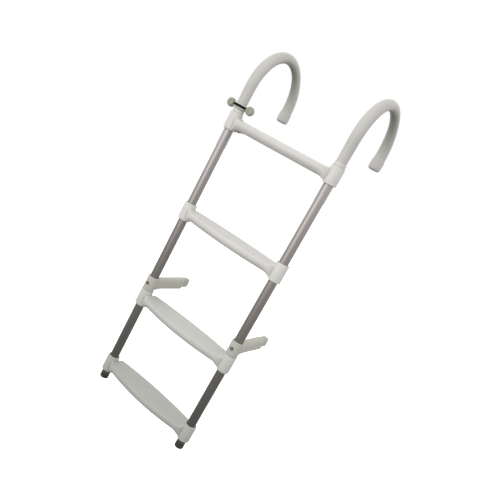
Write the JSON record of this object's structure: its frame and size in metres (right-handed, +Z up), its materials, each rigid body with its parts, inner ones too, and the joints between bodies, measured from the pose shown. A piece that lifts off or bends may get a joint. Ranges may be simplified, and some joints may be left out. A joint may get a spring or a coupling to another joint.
{
  "type": "hook-on pool ladder",
  "caption": "Hook-on pool ladder: tube rails, moulded bowed treads, swivelling over-wall hook with wing lock, clamped stand-off arms.",
  "frame": {"origin": "hook seat: midway between the two hooks, at the inside of their crowns, where they rest on the wall", "axes": "+Z up along the rails, +Y from the ladder towards the wall it hangs on, +X along the steps"},
  "size_m": [0.3805, 0.2864, 1.05],
  "materials": {
    "anodised_aluminium": "satin anodised",
    "foot_rubber": "matt",
    "hook_tube_aluminium": "mill finish",
    "hook_sleeve_pvc": "satin",
    "hook_cap_plastic": "satin",
    "bush_plastic": "satin",
    "standoff_plastic": "fine grain",
    "standoff_tip_rubber": "matt",
    "screw_steel": "plain",
    "step_plastic": "fine moulded grain",
    "rivet_steel": "plain",
    "lock_plastic": "fine grain",
    "band_rubber": "matt"
  },
  "bodies": {
    "ladder": {"left_rail": "anodised_aluminium", "left_foot": "foot_rubber", "left_hook_bush": "bush_plastic", "right_rail": "anodised_aluminium", "right_foot": "foot_rubber", "right_hook_tube": "hook_tube_aluminium", "right_hook_sleeve": "hook_sleeve_pvc", "right_hook_cap": "hook_cap_plastic", "right_hook_bush": "bush_plastic", "step_1": "step_plastic", "step_2": "step_plastic", "step_3": "step_plastic", "step_4": "step_plastic", "step_rivets": "rivet_steel", "right_hook_pin": "rivet_steel"},
    "left_hook": {"left_hook_tube": "hook_tube_aluminium", "left_hook_sleeve": "hook_sleeve_pvc", "left_hook_cap": "hook_cap_plastic"},
    "lock": {"lock_ring": "lock_plastic", "lock_band": "band_rubber"},
    "left_arm": {"left_standoff": "standoff_plastic", "left_standoff_tip": "standoff_tip_rubber", "left_standoff_screw": "screw_steel"},
    "right_arm": {"right_standoff": "standoff_plastic", "right_standoff_tip": "standoff_tip_rubber", "right_standoff_screw": "screw_steel"}
  },
  "joints": [
    {"name": "left_hook_swivel", "type": "hinge", "parent": "ladder", "child": "left_hook", "pos_m": [-0.16, -0.118, -0.105], "axis": [0, 0, 1], "range_deg": [-90, 90]},
    {"name": "lock_ring_turn", "type": "hinge", "parent": "ladder", "child": "lock", "pos_m": [-0.16, -0.118, -0.158], "axis": [0, 0, 1], "range_deg": [0, 90]},
    {"name": "left_arm_swivel", "type": "hinge", "parent": "ladder", "child": "left_arm", "pos_m": [-0.16, -0.118, -0.695], "axis": [0, 0, 1], "range_deg": [-60, 60]},
    {"name": "right_arm_swivel", "type": "hinge", "parent": "ladder", "child": "right_arm", "pos_m": [0.16, -0.118, -0.695], "axis": [0, 0, 1], "range_deg": [-60, 60]}
  ]
}
